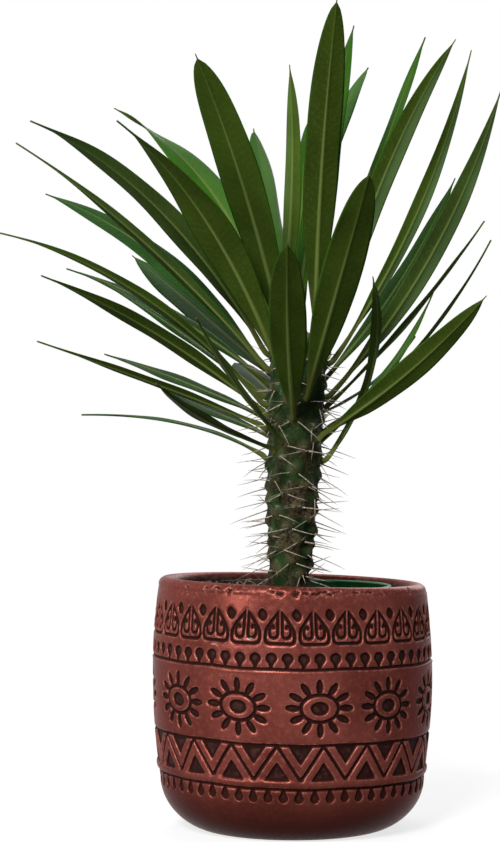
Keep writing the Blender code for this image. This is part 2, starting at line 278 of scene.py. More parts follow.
class Finish(Nodes):
    """A material round a Principled shader. colour is the base colour so far."""

    def __init__(self, name, **sockets):
        self.material = bpy.data.materials.new(name)
        self.material.use_nodes = True
        super().__init__(self.material.node_tree)
        self.shader = self.tree.nodes["Principled BSDF"]
        self.colour = None
        for socket, value in sockets.items():
            self.shader.inputs[socket.replace("_", " ")].default_value = value

    def place(self, stretch=(1, 1, 1)):
        """Object coordinates, stretched."""
        spot = self.node("TexCoord").outputs["Object"]
        return self.node("Mapping", {"Vector": spot, "Scale": stretch}).outputs[0]

    def noise(self, scale, detail=4.0, stretch=(1, 1, 1)):
        inputs = {"Vector": self.place(stretch), "Scale": scale, "Detail": detail}
        return self.node("TexNoise", inputs).outputs["Fac"]

    def cells(self, scale):
        inputs = {"Vector": self.place(), "Scale": scale}
        return self.node("TexVoronoi", inputs).outputs["Distance"]

    def field(self, name):
        return self.node("Attribute", attribute_name=name).outputs["Fac"]

    def span(self, value, low, high, start=0.0, end=1.0):
        """value, carried smoothly from low..high to start..end."""
        inputs = {"Value": value, 1: low, 2: high, 3: start, 4: end}
        return self.node("MapRange", inputs, interpolation_type="SMOOTHSTEP").outputs[0]

    def mix(self, factor, a, b):
        colours = [c if isinstance(c, bpy.types.NodeSocket) else (*c, 1.0) for c in (a, b)]
        inputs = {0: factor, 6: colours[0], 7: colours[1]}
        return self.node("Mix", inputs, data_type="RGBA", blend_type="MIX").outputs[2]

    def shades(self, value, low, high, first, second):
        """The first colour where value is under low, the second where it is over high, and a
        blend between."""
        return self.mix(self.span(value, low, high), first, second)

    def coat(self, amount, colour):
        """A layer of colour over the base colour so far."""
        self.colour = self.mix(amount, self.colour, colour)

    def wash(self, value, low, high, most, colour):
        """A coat that grows from nothing where value is low to most where it is high."""
        self.coat(self.span(value, low, high, 0, most), colour)

    def set(self, socket, value):
        self.tree.links.new(value, self.shader.inputs[socket])

    def done(self, *bumps):
        """The material, with bumps one on top of another, each a height from 0 to 1 and a depth
        in millimetres."""
        self.set("Base Color", self.colour)
        normal = None
        for height, depth in bumps:
            inputs = {"Height": height, "Strength": 1.0, "Distance": depth * MM}
            if normal:
                inputs["Normal"] = normal
            normal = self.node("Bump", inputs).outputs[0]
        if normal:
            self.set("Normal", normal)
        return self.material


def copper_paint():
    """Satin copper paint over fired clay, with painted shade in dark brown where it is pressed in,
    darkest along the walls of the hollows. The edges are paler from wear and from a painted
    highlight, the rim's top has wear and a painted highlight, and there is painted shade
    towards the foot.

    carved is the distance in millimetres from the edge of what is pressed in, below zero inside
    it, and inside is 1 inside the pot, which is a darker brown."""
    made = Finish("copper_ceramic", Specular_IOR_Level=0.05, Specular_Tint=(0.45, 0.2, 0.15, 1))
    carved, inside = made.field("carved"), made.field("inside")
    height = made.node("SeparateXYZ", {0: made.place()}).outputs["Z"]  # in metres
    fine = made.noise(420, 4)
    grain = made.noise(1500, 2)
    broad = made.noise(22, 5)
    made.colour = made.shades(broad, 0.35, 0.68, (0.09, 0.0205, 0.0155), (0.155, 0.0395, 0.031))
    made.wash(fine, 0.45, 0.75, 0.22, (0.28, 0.085, 0.06))
    made.wash(grain, 0.35, 0.65, 0.3, (0.06, 0.012, 0.008))
    specks = made.cells(260)
    made.wash(specks, 0.16, 0.05, 0.5, (0.09, 0.026, 0.02))
    # edges paler from wear and from a painted highlight along the rims of the hollows
    edge = made.times(made.span(carved, 0.95, 0.35), made.span(carved, 0.0, 0.3))
    wear_and_painted_highlight = made.times(edge, made.span(fine, 0.35, 0.65, 0.0, 0.42))
    made.coat(wear_and_painted_highlight, (0.37, 0.145, 0.11))
    # painted shade: dark brown in what is pressed in, darkest along the walls of the hollows
    pressed = made.span(carved, 0.25, -0.25)
    painted_recess_shade = made.shades(fine, 0.35, 0.7, (0.014, 0.0056, 0.005), (0.04, 0.016, 0.014))
    made.coat(pressed, made.shades(carved, -1.0, -1.7, (0.015, 0.0048, 0.004), painted_recess_shade))
    # a darker brown inside the pot
    inside_brown = made.shades(fine, 0.3, 0.7, (0.018, 0.009, 0.007), (0.06, 0.028, 0.021))
    made.coat(inside, inside_brown)
    # the rim's top paler in patches, from wear and from a painted highlight
    patchy = made.span(made.noise(620, 6), 0.52, 0.7, 0, 0.45)
    rim_wear_and_highlight = made.times(made.span(height, 0.116, 0.12), patchy)
    rim_wear_and_highlight = made.times(rim_wear_and_highlight, made.span(inside, 0.6, 0.2))
    made.coat(rim_wear_and_highlight, (0.36, 0.125, 0.095))
    scuffs = made.noise(95, 6, (1, 1, 2.4))
    made.wash(scuffs, 0.71, 0.77, 0.6, (0.42, 0.27, 0.23))
    # painted shade: darker towards the foot
    made.wash(height, 0.045, 0.001, 0.9, (0.03, 0.006, 0.004))
    made.set("Metallic", made.span(pressed, 0, 1, 0.36, 0.04))
    rough = made.math("ADD", made.span(fine, 0.25, 0.75, 0.27, 0.36), made.times(pressed, 0.35))
    made.set("Roughness", rough)
    return made.done((grain, 0.05), (fine, 0.11), (made.span(carved, 0.35, -0.45, 1, 0), 0.45))


def green_plastic():
    """Thin moulded nursery plastic: dull green with dusty patches, paler along the top of the rim
    from a painted highlight, and darker brown patches high on the left.
    """
    made = Finish("green_plastic", Roughness=0.42, Metallic=0.0, Specular_IOR_Level=0.03)
    dust = made.noise(60, 6)
    made.colour = made.shades(dust, 0.35, 0.7, (0.002, 0.018, 0.0045), (0.006, 0.036, 0.011))
    # painted highlight: a pale line along the top of the rim
    made.coat(made.field("rim"), (0.042, 0.12, 0.055))
    # dark brown patches, most of them high on the left
    dark_patches = made.math("ADD", made.noise(170, 5), made.field("muddy"))
    made.wash(dark_patches, 0.55, 0.85, 0.95, (0.03, 0.02, 0.014))
    made.set("Roughness", made.span(dust, 0.3, 0.7, 0.3, 0.55))
    return made.done((made.noise(900, 2), 0.06), (dust, 0.2))


def potting_mix():
    """Dark peat with paler crumbs, and grit where the stone field is high."""
    made = Finish("soil", Roughness=0.95, Metallic=0.0, Specular_IOR_Level=0.0)
    crumbs = made.cells(420)
    peat = made.noise(240, 8)
    made.colour = made.shades(peat, 0.3, 0.72, (0.008, 0.0045, 0.003), (0.034, 0.02, 0.0145))
    pale = made.times(made.span(crumbs, 0.3, 0.12), made.span(peat, 0.55, 0.7))
    made.coat(pale, (0.095, 0.06, 0.04))
    made.coat(made.field("stone"), (0.2, 0.16, 0.12))
    return made.done((made.noise(1400, 4), 0.35), (crumbs, 0.5))


def stem_skin():
    """Dark green bark: brown and corky in patches low on the stem and on its cushions, with painted
    glints in pale streaks, and painted shade that darkens it between the cushions."""
    made = Finish("stem_skin", Roughness=0.45, Metallic=0.0, Specular_IOR_Level=0.015)
    cushion = made.field("cushion")
    patch = made.noise(120, 5, (1, 1, 0.6))
    fine = made.noise(700, 4)
    made.colour = made.shades(patch, 0.36, 0.66, (0.005, 0.013, 0.003), (0.023, 0.056, 0.015))
    old = made.span(made.field("height"), 0.75, 0.3)
    corky = made.times(made.span(made.noise(75, 6), 0.4, 0.56), old)
    bark = made.shades(fine, 0.3, 0.7, (0.012, 0.008, 0.004), (0.082, 0.06, 0.036))
    made.coat(corky, bark)
    scar = made.times(cushion, made.span(patch, 0.3, 0.6, 0.3, 0.85))
    made.coat(scar, (0.04, 0.033, 0.016))
    # painted highlight: short pale glints
    painted_glints = made.noise(210, 4, (1, 1, 1.7))
    made.wash(painted_glints, 0.6, 0.72, 0.6, (0.12, 0.155, 0.1))
    # painted shade in the hollows between the cushions
    made.wash(cushion, 0.4, 0.05, 0.42, (0.003, 0.005, 0.002))
    made.set("Roughness", made.span(corky, 0, 1, 0.33, 0.75))
    return made.done((fine, 0.35), (made.noise(260, 5, (1, 1, 0.5)), 0.9))


def thorn_horn():
    """Dry grey-brown thorns, darker at the tip."""
    made = Finish("thorn", Roughness=0.55, Metallic=0.0, Specular_IOR_Level=0.2)
    grain = made.noise(800, 3)
    made.colour = made.shades(grain, 0.3, 0.7, (0.13, 0.105, 0.075), (0.36, 0.3, 0.235))
    made.wash(made.field("along"), 0.55, 1.0, 1.0, (0.1, 0.085, 0.075))
    return made.done((grain, 0.08))


def leaf_skin():
    """Leathery leaf: satin green above, duller olive under, with a pale midrib and faint side
    veins, a yellow-green stalk and a dry tip.

    across runs from 0 at the midrib to 1 at the margins, along from 0 at the foot to 1 at the
    tip, and under is 1 below. The side veins are a sine of a slanting sum of along and across."""
    made = Finish("leaf", Roughness=0.45, Metallic=0.0, Specular_IOR_Level=0.015)
    across, along = made.field("across"), made.field("along")
    under, tone, blue = made.field("under"), made.field("tone"), made.field("blue")
    cloud = made.noise(45, 4)
    fine = made.noise(700, 3)
    top = made.mix(tone, (0.008, 0.032, 0.0025), (0.042, 0.135, 0.011))
    top = made.mix(blue, top, (0.014, 0.042, 0.017))
    low = made.mix(tone, (0.017, 0.028, 0.002), (0.044, 0.078, 0.009))
    low = made.mix(made.times(blue, 0.7), low, (0.03, 0.055, 0.024))
    made.colour = made.mix(under, top, low)
    # painted light: one half of the blade paler than the other
    made.coat(made.field("pale"), (0.115, 0.2, 0.065))
    half_dark = made.mix(0.5, made.colour, (0, 0, 0))
    made.wash(cloud, 0.35, 0.7, 0.45, half_dark)
    made.wash(fine, 0.45, 0.75, 0.07, (0.13, 0.21, 0.06))
    slant = made.math("SUBTRACT", made.times(along, 260.0), made.times(across, 9.0))
    veins = made.math("SINE", slant)
    made.wash(veins, 0.7, 1.0, 0.03, (0.14, 0.22, 0.07))
    made.wash(made.field("rib"), 0.12, 0.6, 0.85, (0.105, 0.145, 0.035))
    made.wash(along, 0.22, 0.05, 0.75, (0.06, 0.068, 0.014))
    made.wash(along, 0.975, 1.0, 0.7, (0.11, 0.075, 0.03))
    rough = made.math("ADD", made.span(fine, 0.3, 0.7, 0.42, 0.55), made.times(under, 0.14))
    made.set("Roughness", rough)
    return made.done((fine, 0.007), (cloud, 0.3), (veins, 0.002))


def dry_root():
    made = Finish("dry_root", Roughness=0.85, Metallic=0.0)
    grain = made.noise(600, 4)
    made.colour = made.shades(grain, 0.3, 0.7, (0.05, 0.032, 0.018), (0.2, 0.14, 0.085))
    return made.done((grain, 0.15))


# ---- the pot's ornament


def line(x, y, start, end, half, end_half=None):
    """Distance from a straight stroke, less its half width, which may change along it."""
    dx, dy = end[0] - start[0], end[1] - start[1]
    share = np.clip(((x - start[0]) * dx + (y - start[1]) * dy) / (dx * dx + dy * dy), 0, 1)
    reach = np.hypot(x - start[0] - share * dx, y - start[1] - share * dy)
    return reach - half - share * ((half if end_half is None else end_half) - half)


def stroke(x, y, corners, half):
    """Distance from a stroke through several corners."""
    parts = [line(x, y, a, b, half) for a, b in zip(corners, corners[1:])]
    return np.minimum.reduce(parts)


def oval(x, y, a, b):
    """Distance from an oval with half axes a and b, below zero inside it: k(k - 1) over the
    length of the gradient, where k is how many times the oval has to grow to reach the point."""
    k = np.hypot(x / a, y / b)
    steep = np.maximum(np.hypot(x / a**2, y / b**2), 1e-3)
    return np.where(k < 0.2, -min(a, b), k * (k - 1) / steep)


def turned_oval(x, y, centre, way, a, b):
    """An oval whose long axis a points along way."""
    length = math.hypot(*way)
    dx, dy = way[0] / length, way[1] / length
    x, y = x - centre[0], y - centre[1]
    return oval(x * dx + y * dy, y * dx - x * dy, a, b)


def tile(turn, repeats, first):
    """Millimetres from the middle of the nearest of the repeats round the pot, and which it is."""
    share = (turn - math.radians(first)) * repeats / math.tau
    nearest = np.round(share)
    return (share - nearest) * math.tau * ORNAMENT_RADIUS / repeats, nearest % repeats


def dots(turn, height):
    """Kite-like dents in a row between the tips of the scrolled triangles."""
    x, which = tile(turn, TRIANGLES, 2.1)
    y = height - DOTS_HEIGHT
    x = x + 0.12 * y + 0.3 * np.sin(which * 2.3)
    half_width, half_height, power = 2.35, 2.9, 1.6
    kite = (np.abs(x / half_width) ** power + np.abs(y / half_height) ** power) ** (1 / power)
    return (kite - 1) * 2.4


def scrolled_triangles(turn, height):
    """A bell-sided triangle outline with two mirrored scrolls on either side of a thin rib."""
    x, which = tile(turn, TRIANGLES, -4.8)
    lean = 0.03 * np.sin(which * 1.7)
    y = height - TRIANGLE_FOOT
    side = np.abs(x + lean * (y - 8))
    bell = [
        (0, 15.6), (3.4, 11.6), (6.1, 7.7), (7.0, 5.6), (7.2, 2.2), (6.6, 0.6), (5.2, 0), (0, 0),
    ]
    scroll = [(1.12, 13.4), (1.12, 4.2), (1.7, 3.0), (3.0, 2.55), (4.5, 3.1), (5.2, 4.7)]
    hook = [(5.2, 4.7), (5.1, 6.6), (4.3, 8.2), (3.5, 8.6), (2.9, 7.7)]
    cut = np.minimum(stroke(side, y, bell, 0.7), stroke(side, y, scroll, 0.68))
    cut = np.minimum(cut, stroke(side, y, hook, 0.6))
    eye = np.hypot(side - 3.15, y - 7.5) - 0.75
    half_rib = 0.42 - side - 10 * (y < 1.2)
    return np.maximum(np.minimum(cut, eye), half_rib)


def keyholes(turn, height):
    """Round heads that narrow down to one groove right round the pot."""
    x, _ = tile(turn, KEYHOLES, -1.7)
    y = height - KEYHOLES_HEIGHT
    head = np.minimum(oval(x, y, 2.75, 2.5), line(x, y, (0, -0.7), (0, -4.0), 2.15, 0.7))
    neck = line(x, y, (0, -3.8), (0, -5.1), 0.75, 0.6)
    groove = np.abs(y + 5.2) - 0.62
    return np.minimum(np.minimum(head, neck), groove)


SUN_SHIFTS = np.array([0.4, -2.0, -2.9, 1.0, -1.2, 0.6, -0.8, 1.3, -0.5, 3.0, -0.3])  # millimetres


def suns(turn, height):
    """An oval eye in a raised ring, with petals round it."""
    x, which = tile(turn, SUNS, 10.9)
    x = x - SUN_SHIFTS[which.astype(int)]
    y = height - SUNS_HEIGHT + 0.035 * x
    ring_groove = np.abs(oval(x, y, 9.0, 6.5)) - 0.75
    cut = np.minimum(ring_groove, oval(x, y, 4.3, 3.2))
    for petal in range(PETALS):
        angle = math.tau * (petal + 0.04) / PETALS + math.pi / 2
        centre = (13.0 * math.cos(angle), 10.3 * math.sin(angle))
        cut = np.minimum(cut, turned_oval(x, y, centre, centre, 3.5, 1.55))
    return cut


def zigzag(turn, height):
    """Two interlocked rows of raised chevrons, cut flat above and below.

    slope is the distance below the straight groove that runs between the two rows, measured
    square to it, so a groove, a ribbon and a hollow follow each other as it grows either way."""
    period = math.tau * ORNAMENT_RADIUS / ZIGZAGS
    x, _ = tile(turn, ZIGZAGS, -6.0)
    y = height - ZIGZAG_FOOT
    slope = ZIGZAG_RISE * (1 - 2 * np.abs(x) / period) - y
    slope = np.abs(slope / math.hypot(1, 2 * ZIGZAG_RISE / period))
    cut = np.minimum(slope - 0.7, 4.4 - slope)
    cut = np.maximum(cut, np.maximum(-y, y - ZIGZAG_RISE))
    groove = np.abs(y - ZIGZAG_RISE - 0.2) - 0.6
    return np.minimum(cut, groove)


def hanging_drops(turn, height):
    """A groove with drops that hang from it, narrow above and round below."""
    x, _ = tile(turn, DROPS, -3.4)
    y = height - DROPS_GROOVE
    drop = line(x, y, (0, -0.8), (0, -4.1), 0.8, 2.3)
    return np.minimum(drop, np.abs(y) - 0.6)


RIM_CHIPS = [
    # degrees round from the front, height along the wall and lip, half width, half height
    (2, 121.0, 1.4, 1.8), (-4.6, 120.7, 2.0, 1.0), (-8.5, 121.7, 1.6, 0.6), (-27, 120.8, 1.6, 1.2),
    (-33, 122.0, 2.2, 0.6), (-38.5, 121.2, 1.2, 0.7), (6, 121.7, 1.8, 0.9), (9.5, 120.9, 2.1, 0.8),
    (13, 121.9, 2.3, 0.8), (15.5, 120.5, 1.5, 0.6), (18.8, 121.8, 1.9, 0.8), (27, 121.6, 1.8, 0.5),
    (31, 121.9, 2.2, 0.45), (34.5, 122.2, 1.6, 0.5), (59, 122.6, 1.0, 1.2), (-50, 121.5, 1.2, 0.6),
    (88, 121.2, 1.9, 0.7), (107, 121.8, 1.2, 1.0), (131, 120.9, 2.5, 0.7), (154, 121.6, 1.4, 1.2),
    (171, 121.2, 2.6, 0.7), (196, 121.8, 1.3, 1.0), (214, 120.8, 2.1, 0.8), (238, 122.0, 1.5, 1.1),
    (259, 121.2, 2.4, 0.7), (288, 121.6, 1.4, 1.0),
]


def chips(turn, height):
    """Ragged dents under the rim: ovals whose edge is pushed about by a few sines."""
    ragged = 0.3 * np.sin(61 * turn + 1.5 * height) + 0.22 * np.sin(173 * turn - 2 * height)
    ragged = ragged + 0.2 * np.sin(97 * turn + 3 * height) + 0.16 * np.sin(239 * turn + 4 * height)
    cut = np.full(turn.shape, PLAIN)
    for degrees, middle, half_width, half_height in RIM_CHIPS:
        x, _ = tile(turn, 1, degrees)
        cut = np.minimum(cut, oval(x, height - middle, half_width, half_height))
    return np.maximum(cut + ragged, -0.12)


def ornament(turn, height):
    """Distance in millimetres from the edge of whatever is pressed in, below zero inside it, and
    how far the surface stands out. The pattern wanders a little, as hand work does. The surface
    goes down in a rounded shoulder, a low lip and an S curve. A half-round ridge stands out
    between the zigzag and the drops, and a fine one under the keyholes."""
    turn = turn + 0.0035 * np.sin(3 * turn + 1) + 0.0025 * np.sin(7 * turn + height / 9)
    height = height + 0.22 * np.sin(5 * turn + 2) + 0.15 * np.sin(13 * turn)
    bands = (dots, scrolled_triangles, keyholes, suns, zigzag, hanging_drops, chips)
    carved = np.minimum.reduce([band(turn, height) for band in bands])
    depth = GROOVE_DEPTH * smooth_step(0.3, -0.45, carved)
    depth = depth + SHOULDER_DEPTH * smooth_step(1.3, 0.0, carved)
    lip = 0.12 * np.exp(-(((carved - 0.6) / 0.35) ** 2))
    ridge = 0.9 * np.sqrt(np.clip(1 - ((height - RIDGE_HEIGHT) / 2.2) ** 2, 0, 1))
    ridge = ridge + 0.3 * np.exp(-(((height - FINE_RIDGE_HEIGHT) / 0.45) ** 2))
    return carved, lip + ridge - depth


def wall_radius(z):
    """The pot's outside: a parabola that is widest at the belly, and an eased quarter oval at the
    foot."""
    from_belly = (np.maximum(z, FOOT_ROUND) - BELLY_HEIGHT) / (POT_HEIGHT - BELLY_HEIGHT)
    side = BELLY_RADIUS - BELLY_SWELL * from_belly**2
    drop = np.clip((FOOT_ROUND - z) / FOOT_ROUND, 0, 1)
    foot = FOOT_RADIUS + (side - FOOT_RADIUS) * (1 - drop**2) ** FOOT_EASE
    return np.where(z < FOOT_ROUND, foot, side)


def pot_ring(radius, height, columns):
    """A ring of the pot that follows the lean of its bands and rim."""
    points = ring(radius, height, columns)
    x, y = points[:, 0], points[:, 1]
    bands = smooth_step(3, 24, height) * BAND_LEAN * (y - x + BELLY_RADIUS)
    rim = smooth_step(112, 121, height)
    points[:, 2] += bands * (1 - rim) - RIM_LEAN * x * rim
    return points


def build_pot():
    """Rings from the middle of the underside, up the outside, over the lip and down the inside.

    The ornament's rings are close together and have six times the points of the others."""
    rings, carved_at, inside_at = [], [], []

    def keep(points, carved=PLAIN, inside=0.0):
        rings.append(points)
        carved_at.append(np.full(len(points), carved))
        inside_at.append(np.full(len(points), inside))

    def wall_ring(height, columns):
        """A ring whose radius is the wall's at its own leaned height, plus the ornament."""
        turn = turns(columns)
        leaned = pot_ring(BELLY_RADIUS - 1, height, columns)[:, 2]
        carved, out = PLAIN, 0
        if columns == FINE_COLUMNS:
            carved, out = ornament(turn, np.full(columns, height))
        sway = 0.22 * np.sin(2 * turn + height / 19) + 0.15 * np.sin(5 * turn - height / 11)
        radius = wall_radius(leaned) + out + sway * smooth_step(8, 25, height)
        keep(ring(radius, leaned, columns), carved)

    def lip_ring(angle):
        """A fine ring of the lip's outer quarter, chipped like the wall under it."""
        height = np.full(FINE_COLUMNS, lip_height + half_lip * angle)
        carved, out = ornament(turns(FINE_COLUMNS), height)
        level = pot_ring(lip_radius, lip_height + half_lip * math.sin(angle), FINE_COLUMNS)[:, 2]
        radius = lip_radius + (half_lip + out) * math.cos(angle)
        keep(ring(radius, level + out * math.sin(angle), FINE_COLUMNS), carved)

    half_lip = LIP / 2
    lip_height = POT_HEIGHT - half_lip
    lip_radius = wall_radius(lip_height) - half_lip
    for radius in (22.0, 40.0):
        keep(ring(radius, 0.0, COARSE_COLUMNS))
    for angle in np.radians(np.linspace(-90, -13, 15)):
        wall_ring(FOOT_ROUND * (1 + math.sin(angle)), COARSE_COLUMNS)
    for height in np.linspace(20.6, 119.7, FINE_RINGS):
        wall_ring(height, FINE_COLUMNS)
    for angle in np.radians(np.linspace(3, 63, 7)):
        lip_ring(angle)
    for angle in np.radians(np.linspace(76, 180, 9)):
        height = lip_height + half_lip * math.sin(angle)
        inside = smooth_step(105, 165, math.degrees(angle))
        radius = lip_radius + half_lip * math.cos(angle)
        keep(pot_ring(radius, height, COARSE_COLUMNS), inside=inside)
    inner = [(wall_radius(z) - POT_WALL, z) for z in (114.0, 106.0, 92.0, 78.0, 64.0, 50.0)]
    for angle in np.radians(np.linspace(-10, -90, 6)):
        radius = INNER_FLOOR_RADIUS + INNER_ROUND * math.cos(angle)
        inner.append((radius, POT_FLOOR + INNER_ROUND * (1 + math.sin(angle))))
    for radius, height in inner + [(20.0, POT_FLOOR)]:
        keep(ring(radius, height, COARSE_COLUMNS), inside=1.0)
    points, faces = skin(rings, (0, 0, 0), (0, 0, POT_FLOOR))
    fields = {
        "carved": np.append(np.concatenate(carved_at), (PLAIN, PLAIN)),
        "inside": np.append(np.concatenate(inside_at), (0.0, 1.0)),
    }
    add_piece("copper_pot", points, faces, copper_paint(), ["pot"], fields)


# ---- nursery pot and soil


def nursery_radius(z):
    """The nursery pot's tapered outside under its band."""
    neck = NURSERY_TOP - NURSERY_BAND
    share = (z - NURSERY_FLOOR) / (neck - NURSERY_FLOOR)
    return NURSERY_BASE_RADIUS + share * (NURSERY_NECK_RADIUS - NURSERY_BASE_RADIUS)


def drill(piece, centres, radius, low, high):
    """Round holes up through a piece, cut by 24-sided rods that are gone once it is done."""
    rods = []
    for x, y in centres:
        ends = [ring(radius, height, 24) + (x, y, 0) for height in (low, high)]
        rods.append(skin(ends, (x, y, low), (x, y, high)))
    points, faces = joined(rods)
    mesh = bpy.data.meshes.new("drills")
    mesh.from_pydata((points * MM).tolist(), [], faces)
    drills = add_object("drills", mesh)
    cut = piece.modifiers.new("holes", "BOOLEAN")
    cut.operation, cut.solver, cut.object = "DIFFERENCE", "EXACT", drills
    finished = piece.evaluated_get(bpy.context.evaluated_depsgraph_get())
    drilled = bpy.data.meshes.new_from_object(finished)
    piece.modifiers.clear()
    piece.data = drilled
    bpy.data.objects.remove(drills)


def build_nursery_pot():
    """The thin tapered pot: rings up its outside, round a rolled rim and down its inside."""
    neck = NURSERY_TOP - NURSERY_BAND
    wall, floor = NURSERY_WALL, NURSERY_FLOOR
    rim_radius, base_radius = NURSERY_RIM_RADIUS, NURSERY_BASE_RADIUS
    bead = 0.9
    outside = [(20.0, floor), (32.0, floor), (base_radius - 0.8, floor)]
    outside += [(nursery_radius(z) + 0.02, z) for z in np.linspace(floor + 0.8, neck - 1.5, 14)]
    outside += [(rim_radius - 0.4, neck - 0.3), (rim_radius, neck + 0.6)]
    outside += [(rim_radius, NURSERY_TOP - 2.4)]
    rim_middle, rim_height = rim_radius - wall / 2, NURSERY_TOP - bead
    rim = [
        (rim_middle + (bead + 0.1) * math.cos(a), rim_height + bead * math.sin(a))
        for a in np.radians(np.linspace(-30, 210, 9))
    ]
    inside = [(rim_radius - wall, neck + 1.8)]
    inside += [(nursery_radius(z) - wall, z) for z in np.linspace(neck, floor + wall + 0.8, 8)]
    inside += [(radius, floor + wall) for radius in (base_radius - wall - 1, 32.0, 20.0)]
    rings = [ring(r, z, 120, NURSERY_X) for r, z in outside + rim + inside]
    points, faces = skin(rings, (NURSERY_X, 0, floor), (NURSERY_X, 0, floor + wall))
    x, y, z = points.T
    # painted highlight: the rim field is a pale line along the top of the rim, on the right only
    edge = smooth_step(NURSERY_TOP - 1.0, NURSERY_TOP - 0.3, z)
    on_pot = np.hypot(x - NURSERY_X, y) < rim_radius + 0.2
    # dark brown high on the left of the pot
    muddy = 0.55 * smooth_step(8, -14, x) * smooth_step(neck - 8, neck + 4, z)
    fields = {"rim": edge * (1 - smooth_step(6, -12, x)), "muddy": muddy * on_pot}
    finish = green_plastic()
    pot = add_piece("grow_pot", points, faces, finish, ["nursery_pot"], fields)
    middles = turns(DRAIN_HOLES) + math.pi / DRAIN_HOLES
    centres = [(NURSERY_X + DRAIN_RING * math.cos(t), DRAIN_RING * math.sin(t)) for t in middles]
    drill(pot, centres, DRAIN_RADIUS, floor - 3, floor + wall + 3)


def soil_height(x, y):
    """The soil's top: a tilted plane, heaped at the left, with lumps made of crossed sines."""
    lumps = 0.7 * np.sin(0.31 * x + 1.3 * np.sin(0.21 * y))
    lumps = lumps + 0.6 * np.sin(0.27 * y + 0.9 * np.sin(0.4 * x))
    lumps = lumps + 0.35 * np.sin(0.93 * x + 0.5 * y) * np.sin(0.8 * y - 0.3 * x)
    return SOIL_TOP - SOIL_TILT * x + 3.4 * smooth_step(-8, -36, x) + 0.8 * lumps


def build_soil():
    """A plug of potting mix: rings down the outside, across the top and down round the root."""
    columns = 150
    wall = NURSERY_WALL + 0.3
    neck = NURSERY_TOP - NURSERY_BAND
    low = NURSERY_FLOOR + wall
    outer = NURSERY_RIM_RADIUS - wall
    sides = [(12.0, low), (25.0, low)]
    sides += [(nursery_radius(z) - wall - 0.2, z) for z in (low, 60.0, 100.0, neck)]
    rings = [ring(r, z, columns, NURSERY_X) for r, z in sides + [(outer, neck + 1.9)]]
    for share in np.linspace(0, 1, 36):
        radius = outer + share * (COLLAR_RADIUS - 0.6 - outer)
        top = ring(radius, 0.0, columns, NURSERY_X + share * (COLLAR_X - NURSERY_X))
        heaped = soil_height(top[:, 0], top[:, 1]) + 1.6 * smooth_step(0.7, 1.0, share)
        edge = smooth_step(0, 0.05, share)
        top[:, 2] = np.maximum(neck + 2.0 + 0.5 * edge, heaped - 0.8 * (1 - edge))
        rings.append(top)
    for z in (108.0, 92.0, 76.0, 66.0):
        rings.append(ring(stem_radius(z) * 0.9, z, columns, COLLAR_X))
    points, faces = skin(rings, (NURSERY_X, 0, low), (COLLAR_X, 0, ROOT_TIP + 1))
    finish = potting_mix()
    fields = {"stone": np.zeros(len(points))}
    add_piece("soil_plug", points, faces, finish, ["potting_soil"], fields)
    build_crumbs(finish)


def build_crumbs(finish):
    """Loose crumbs and grit on the soil: eight-sided lumps, each stretched and turned by chance."""
    count = 420
    chance = np.random.default_rng(5)
    turn = chance.uniform(0, math.tau, count)
    reach = 13 + 35 * np.sqrt(chance.uniform(0, 1, count))
    x = NURSERY_X + reach * np.cos(turn)
    y = reach * np.sin(turn)
    base = np.stack([x, y, soil_height(x, y)], 1)
    corners = np.array([(1, 0, 0), (0, 1, 0), (-1, 0, 0), (0, -1, 0), (0, 0, 1), (0, 0, -1)])
    faces = [(0, 1, 4), (1, 2, 4), (2, 3, 4), (3, 0, 4), (1, 0, 5), (2, 1, 5), (3, 2, 5), (0, 3, 5)]
    size = chance.uniform(0.5, 1.5, (count, 1, 1)) * chance.uniform(0.7, 1.3, (count, 6, 1))
    x, y, z = np.moveaxis(corners * size * chance.uniform(0.7, 1.2, (count, 1, 3)), 2, 0)
    spin = chance.uniform(0, math.tau, count)[:, None]
    spun = [x * np.cos(spin) - y * np.sin(spin), x * np.sin(spin) + y * np.cos(spin), z]
    lumps = np.stack(spun, 2) + base[:, None]
    points, faces = joined([(lump, faces) for lump in lumps])
    stone = np.repeat(chance.uniform(0, 1, count) ** 4, 6)
    add_piece("soil_crumbs", points, faces, finish, (), {"stone": stone})


DRY_ROOTS = [
    # x and y where a fibre leaves the soil and where it ends, and how high it arches
    (-27, -8, -15, -12, 6.5), (-24, -14, -18, -4, 8.0), (-21, -3, -30, -11, 5.0),
    (14, -16, 22, -12, 3.5), (9, 20, 17, 27, 4.0), (-12, 22, -20, 15, 4.5), (26, 8, 20, 17, 3.0),
]


def build_dry_roots():
    """Thin fibres that arch out of the soil: each path is a parabola with a sideways wave."""
    fibres = np.array([fibre[:4] for fibre in DRY_ROOTS], float)
    starts, ends = fibres[:, :2], fibres[:, 2:]
    rises = np.array([fibre[4] for fibre in DRY_ROOTS])
    share = np.linspace(0, 1, 13)
    step = share[None, :, None]
    flat = starts[:, None] * (1 - step) + ends[:, None] * step
    across = np.stack([-(ends - starts)[:, 1], (ends - starts)[:, 0]], 1)[:, None]
    flat = flat + across * 0.09 * np.sin(9 * step)
    ground = soil_height(flat[:, :, 0], flat[:, :, 1]) - 0.6
    height = ground + rises[:, None] * 4 * share * (1 - share)
    paths = np.concatenate([flat, height[:, :, None]], 2)
    radii = np.broadcast_to(0.32 - 0.14 * share, height.shape)
    points, faces = tubes(paths, radii, 6)
    add_piece("dry_roots", points, faces, dry_root())


# ---- leaves


